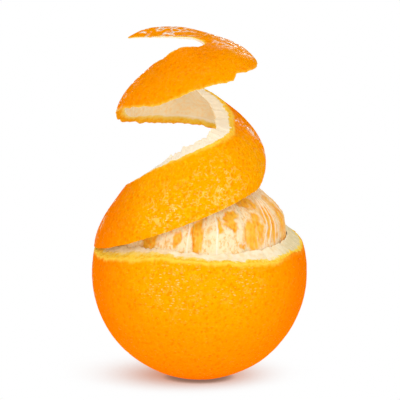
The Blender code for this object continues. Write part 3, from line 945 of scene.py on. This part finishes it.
def fibres(turn, latitude):
    """Fine strands that run up the fruit, 0 to 1: lumps drawn out along the meridians."""
    meridian = np.stack([turn, latitude, turn], axis=-1)
    coarse = lumps(meridian * COARSE_FIBRES, 1.0, 90)
    fine = lumps(meridian * FINE_FIBRES, 1.0, 91)
    return np.clip(0.5 + 0.45 * coarse + 0.4 * fine, 0.0, 1.0)


def off_turn(turn, middle):
    """How many degrees of turn a point lies past a middle one, from -180 to 180."""
    return (turn - middle + 180.0) % 360.0 - 180.0


def bare_pulp(turn, latitude, points):
    """How much pulp shows, and how thick the strands of pith over it are, both 0 to 1.

    On the open side pulp shows in the nearest bare patch, its outline blurred by lumps. Round the back the
    patches are lumps alone.
    """
    blurred_turn = turn + layered(points, BLUR_TURN, 86)
    blurred_latitude = latitude + layered(points, BLUR_LATITUDE, 88)
    patch = np.zeros(points.shape[:-1])
    for at_turn, at_latitude, half_width, half_height, bare in BARE:
        across = off_turn(blurred_turn, at_turn) / half_width
        up = (blurred_latitude - at_latitude) / half_height
        patch = np.maximum(patch, bare * ease(PATCH_SOLID - PATCH_FADES * np.hypot(across, up)))
    wild = ease(0.45 + layered(points, BACK_PATCHES, 81))
    behind = ease((np.abs(off_turn(turn, OPEN_SIDE)) - OPEN_HALF) / OPEN_BLENDS)
    pulp = patch * (1.0 - behind) + wild * behind
    strand = np.zeros_like(pulp)
    up = (latitude - STRAND_FOOT) / (STRAND_TOP - STRAND_FOOT)
    for top, foot in STRANDS:
        line = foot + (top - foot) * up + STRAND_WANDERS * lumps(points, 5.0, 92)
        off = off_turn(turn, line) / STRAND_HALF
        strand = np.maximum(strand, np.exp(-(off**2)))
    thin = fibres(turn, latitude)
    pulp = pulp * (1.0 - 0.9 * strand) * (1.1 - 0.45 * ease((thin - 0.45) / 0.4))
    return np.clip(pulp, 0.0, 1.0), np.maximum(strand, 0.6 * thin)


def segment_piece(number):
    """One segment: level rings round its outside, its two flat membranes and its edge at the core."""
    middle = FIRST_MEMBRANE + 360.0 / SEGMENT_COUNT * (number + 0.5)
    half_turn = 180.0 / SEGMENT_COUNT
    hidden = np.linspace(-SEGMENT_TOP, SHOWN_FROM, HIDDEN_ROWS)[:-1]
    latitude = np.concatenate([hidden, np.linspace(SHOWN_FROM, SEGMENT_TOP, SHOWN_ROWS)])
    level = np.cos(np.radians(latitude)) * FRUIT_RADIUS
    half = half_turn - np.degrees(np.arcsin(SEAM / 2.0 / level))
    turn = middle + half[:, None] * np.linspace(-1.0, 1.0, SEGMENT_COLUMNS)[None, :]
    latitude = latitude[:, None] + 0.0 * turn
    smooth = fruit_point(turn, latitude)
    pulp, strand = bare_pulp(turn, latitude, smooth)
    shown = ease((rim_above(smooth) + 1.0) / SHOWN_FADES)
    relief = CLINGING_HEIGHT * (1.0 - pulp) + STRAND_HEIGHT * strand + layered(smooth, SKIN_LUMPS, 83)
    relief = relief - SKIN_LOWER + SKIN_WAVE * lumps(smooth, SKIN_WAVE_SIZE, 85)
    outside = smooth * (1.0 + (shown * relief - FRUIT_INSET) / FRUIT_RADIUS)[..., None]

    core_face = CORE_RADIUS + NEIGHBOUR_GAP
    inner_turn = half_turn - math.degrees(math.asin(SEAM / 2.0 / core_face))
    height = outside[..., 2].mean(axis=1)
    corners = []
    for way in (1.0, -1.0):
        corners.append(cylindrical(np.full(len(height), middle + way * inner_turn), core_face, height))
    walls = []
    for start, end in ((outside[:, -1], corners[0]), (corners[0], corners[1]), (corners[1], outside[:, 0])):
        share = np.linspace(0.0, 1.0, WALL_COLUMNS + 1)[None, 1:, None]
        walls.append(start[:, None] + (end - start)[:, None] * share)
    walls[-1] = walls[-1][:, :-1]
    rings = np.concatenate([outside] + walls, axis=1)
    count = rings.shape[0] * rings.shape[1]
    at = np.arange(count).reshape(rings.shape[:2])
    faces = grid_faces(np.concatenate([at, at[:, :1]], axis=1))
    faces += [at[0].tolist(), at[-1].tolist()[::-1]]
    wall = np.ones((len(height), rings.shape[1] - outside.shape[1]))
    marks = {
        "pulp": np.concatenate([pulp, wall], axis=1),
        "strand": np.concatenate([strand, 0.0 * wall], axis=1),
        "around": MM_A_DEGREE * np.concatenate([turn, turn[:, -1:] * wall], axis=1),
        "up": MM_A_DEGREE * np.concatenate([latitude, latitude[:, -1:] * wall], axis=1),
    }
    return new_mesh(f"segment_skin_{number + 1:02d}", rings.reshape(-1, 3), faces, marks, SHARP_MEMBRANE)


PULP_AMBER_AND_SHADE = colour(243, 152, 6)
PULP_GOLD = colour(248, 186, 52)
CLINGING = colour(248, 227, 186)
CLINGING_WARM = colour(240, 184, 102)
STRAND_WHITE = colour(250, 236, 212)


def segment_material():
    """Amber pulp with its juice sacs under a moist skin, matt cream pith over the rest, and painted shade at
    the right.
    """
    start_material("segment skin")
    around = mark("around")
    along = Dye.node("ShaderNodeCombineXYZ", inputs={0: around, 1: mark("up") * 0.75, 2: around * 0.1})
    woolly = {"Vector": along, "Scale": 0.8, "Detail": 4.0, "Roughness": 0.65}
    wool = Dye.node("ShaderNodeTexNoise", inputs=woolly)
    sacs = Dye.node("ShaderNodeTexVoronoi", inputs={"Vector": along, "Scale": 0.75})
    bare = (mark("pulp") + (wool - 0.5) * 0.8 + (noise(2.4, 3.0) - 0.5) * 0.9).between(0.1, 0.8)
    amber = sacs.between(0.15, 0.7).blend(PULP_AMBER_AND_SHADE, PULP_GOLD)
    amber = (noise(4.0).between(0.4, 0.75) * 0.6).blend(amber, PULP_GOLD)
    cling = wool.between(0.31, 0.55).blend(CLINGING_WARM, CLINGING)
    cling = mark("strand").between(0.5, 0.95).blend(cling, STRAND_WHITE)
    base = bare.blend(cling, amber)
    # Painted shade: more amber towards the fruit's right.
    base = (axis(0).between(0.01, 0.028) * 0.22).blend(base, PULP_AMBER_AND_SHADE)
    roughness = 0.62 - bare * 0.24
    height = wool * (1.0 - bare * 0.5) * 1.2 + sacs * bare * 0.6 + noise(0.6, 2.0) * 0.3
    moist = {"Specular IOR Level": 0.2, "Subsurface Weight": 0.25, "Subsurface Radius": SUBSURFACE}
    finish_surface("segment skin", base, roughness, height, 0.25, moist)


segment_material()
for number in range(SEGMENT_COUNT):
    lobe = segment_piece(number)
    lobe.data.materials.append(bpy.data.materials["segment skin"])
    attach(lobe, "root")
    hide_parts(f"segment_{number + 1:02d}")

# ---------------------------------------------------------------------------------------------------------
# The core. A soft white column of pith up the fruit's middle, with the segments grown round it. Its top is
# a low ragged tuft, torn where the peel came away.
# ---------------------------------------------------------------------------------------------------------

core_low, core_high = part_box("core")
CORE_TURNS = 72
CORE_ROWS = 120
CORE_ROUND = 0.07
CORE_FLUTE = 0.05
CORE_INSET = 0.09
CORE_LUMPS = [(1.8, 0.05), (0.7, 0.04)]
TUFT_SHARE = 0.1
TUFT_DEPTH = 1.4
SHARP_CORE = 70.0


def core_piece():
    """Level rings up a rod, rounded off at both ends, fluted by the segments and roughened by lumps."""
    turn = np.linspace(0.0, 360.0, CORE_TURNS, endpoint=False)[:, None]
    rows = np.linspace(0.0, 1.0, CORE_ROWS)[None, :]
    rows = 0.5 - 0.5 * np.cos(np.pi * rows)
    foot = core_low.z / MM - CENTRE_HEIGHT
    top = core_high.z / MM - CENTRE_HEIGHT
    end = np.clip(np.maximum(1.0 - rows / CORE_ROUND, 1.0 - (1.0 - rows) / CORE_ROUND), 0.0, 1.0)
    level = (core_high.x - core_low.x) / 2.0 / MM * np.sqrt(1.0 - end**2)
    smooth = cylindrical(turn + 0.0 * rows, level + 0.0 * turn, foot + (top - foot) * rows + 0.0 * turn)
    flute = CORE_FLUTE * np.cos(np.radians(SEGMENT_COUNT * (turn - FIRST_MEMBRANE)))
    rough = flute - CORE_INSET + layered(smooth, CORE_LUMPS, 100)
    points = smooth.copy()
    points[..., :2] *= (1.0 + rough)[..., None]
    torn = ease((rows - 1.0 + TUFT_SHARE) / TUFT_SHARE) * (0.5 + 0.5 * lumps(smooth, 1.1, 102))
    points[..., 2] -= TUFT_DEPTH * torn * np.sqrt(1.0 - end**2)
    at = np.arange(turn.size * CORE_ROWS).reshape(turn.size, CORE_ROWS)
    faces = grid_faces(np.concatenate([at, at[:1]]))
    return new_mesh("core_pith", points.reshape(-1, 3), faces, sharp=SHARP_CORE)


core = core_piece()
start_material("core pith")
strings = noise(0.7, 3.0, scaled(place(), (1.0, 1.0, 0.2)))
core_pith = noise(2.0, 3.0).between(0.35, 0.7).blend(PITH, PITH_SHADE)
core_rough = 0.75 + strings * 0.15
core_matt = {"Specular IOR Level": 0.1, "Subsurface Weight": 0.2, "Subsurface Radius": SUBSURFACE}
finish_surface("core pith", core_pith, core_rough, strings, 0.3, core_matt)
core.data.materials.append(bpy.data.materials["core pith"])
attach(core, "root")
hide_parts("core")

# ---------------------------------------------------------------------------------------------------------
# Floor, light and camera. A white table under wide soft lamps, which together light the orange at a plain
# level, and a long lens a little above it.
# ---------------------------------------------------------------------------------------------------------

FLOOR_HALF = 3.0
FLOOR_LEVEL = 0.9
FLOOR_GLOW = 0.3
MIRRORED_GLOW = 0.5
FLOOR_WHITE = (1.0, 1.0, 1.0, 1.0)
# The shade is worked out from how much sky the floor sees, round the way of the main light.
MAIN_LIGHT = (0.2, -0.35, 0.9)
SHADOW_BROWN = (0.6, 0.2, 0.08, 1.0)
SHADOW_REACH = 0.095
CONTACT_BROWN = (0.26, 0.14, 0.1, 1.0)
CONTACT_REACH = 0.003
WORLD_LIGHT = 0.42
# The outputs of a Light Path: rays from the camera, off a mirror, and through something clear.
CAMERA_RAY, GLOSSY_RAY, CLEAR_RAY = 0, 3, 6


def ray_is(kind):
    """1 for a ray of one kind and 0 for any other."""
    return Dye.node("ShaderNodeLightPath", output=kind)


def open_sky(inputs):
    """How much sky a point sees within a reach: 0 for none and 1 for all."""
    return Dye.node("ShaderNodeAmbientOcclusion", {"samples": 16}, inputs, output=1)


def grey(level):
    """A colour with one level in every channel."""
    return (level, level, level, 1.0)


floor_mesh = bpy.data.meshes.new("floor")
floor_corners = [(x * FLOOR_HALF, y * FLOOR_HALF, 0.0) for x, y in ((-1, -1), (1, -1), (1, 1), (-1, 1))]
floor_mesh.from_pydata(floor_corners, [], [(0, 1, 2, 3)])
floor = bpy.data.objects.new("floor", floor_mesh)
bpy.context.scene.collection.objects.link(floor)
start_material("floor white")
floor_shader = Dye.tree.nodes["Principled BSDF"]
floor_shader.inputs["Roughness"].default_value = 1.0
floor_shader.inputs["Specular IOR Level"].default_value = 0.0
floor_shader.inputs["Emission Strength"].default_value = 1.0
lit_way = Dye.node("ShaderNodeVectorMath", {"operation": "NORMALIZE"}, {0: MAIN_LIGHT})
shadow = open_sky({"Distance": SHADOW_REACH, "Normal": lit_way})
shade = shadow.between(-0.03, 0.71).blend(SHADOW_BROWN, FLOOR_WHITE)
shade = open_sky({"Distance": CONTACT_REACH}).between(0.0, 0.6).blend(CONTACT_BROWN, shade)
seen = ray_is(CAMERA_RAY)
unseen = ray_is(GLOSSY_RAY).blend(grey(FLOOR_GLOW), grey(MIRRORED_GLOW))
Dye.tree.links.new(seen.blend(unseen, shade).socket, floor_shader.inputs["Emission Color"])
Dye.tree.links.new(((1.0 - seen) * FLOOR_LEVEL).socket, floor_shader.inputs["Base Color"])
floor.data.materials.append(bpy.data.materials["floor white"])

world = bpy.data.worlds.new("studio")
bpy.context.scene.world = world
world.use_nodes = True
Dye.tree = world.node_tree
seen = ray_is(CAMERA_RAY) + ray_is(GLOSSY_RAY) + ray_is(CLEAR_RAY)
strength = seen.between(0.0, 1.0) * (1.0 - WORLD_LIGHT) + WORLD_LIGHT
background = world.node_tree.nodes["Background"]
world.node_tree.links.new(strength.socket, background.inputs["Strength"])
background.inputs["Color"].default_value = FLOOR_WHITE


def sun(name, level, azimuth, elevation, width):
    """A soft sun of a width in degrees, at an azimuth from the orange's front and an elevation."""
    light = bpy.data.lights.new(name, "SUN")
    light.energy = level * math.pi
    light.angle = math.radians(width)
    lamp = bpy.data.objects.new(name, light)
    bpy.context.scene.collection.objects.link(lamp)
    lamp.rotation_euler = (math.radians(90.0 - elevation), 0.0, math.radians(azimuth))


sun("front box", 0.08, -22.0, 25.0, 40.0)
sun("low box", 0.12, 5.0, 3.0, 25.0)
sun("right box", 0.055, 46.0, 25.0, 40.0)
for side, azimuth in (("front", -22.0), ("right", 46.0)):
    for elevation in (4.0, 22.0, 42.0):
        sun(f"{side} bulb {elevation:.0f}", 0.06, azimuth, elevation, 9.0)
sun("left box", 0.07, -75.0, 20.0, 40.0)
sun("top box", 0.14, 0.0, 70.0, 45.0)
sun("back right box", 0.12, 165.0, 22.0, 16.0)
sun("back left box", 0.06, -160.0, 12.0, 8.0)

ELEVATION = 8.0
DISTANCE = 1.15
AIM_HEIGHT = 0.0662
LENS = 281.5
SENSOR = 36.0
SHIFT = 0.00175
camera = bpy.data.cameras.new("camera")
camera.lens = LENS
camera.sensor_width = SENSOR
camera.shift_x = SHIFT
view = bpy.data.objects.new("camera", camera)
bpy.context.scene.collection.objects.link(view)
rise = math.radians(ELEVATION)
view.location = (0.0, -math.cos(rise) * DISTANCE, AIM_HEIGHT + math.sin(rise) * DISTANCE)
view.rotation_euler = (math.radians(90.0 - ELEVATION), 0.0, 0.0)
bpy.context.scene.camera = view
bpy.context.scene.view_settings.view_transform = "Standard"
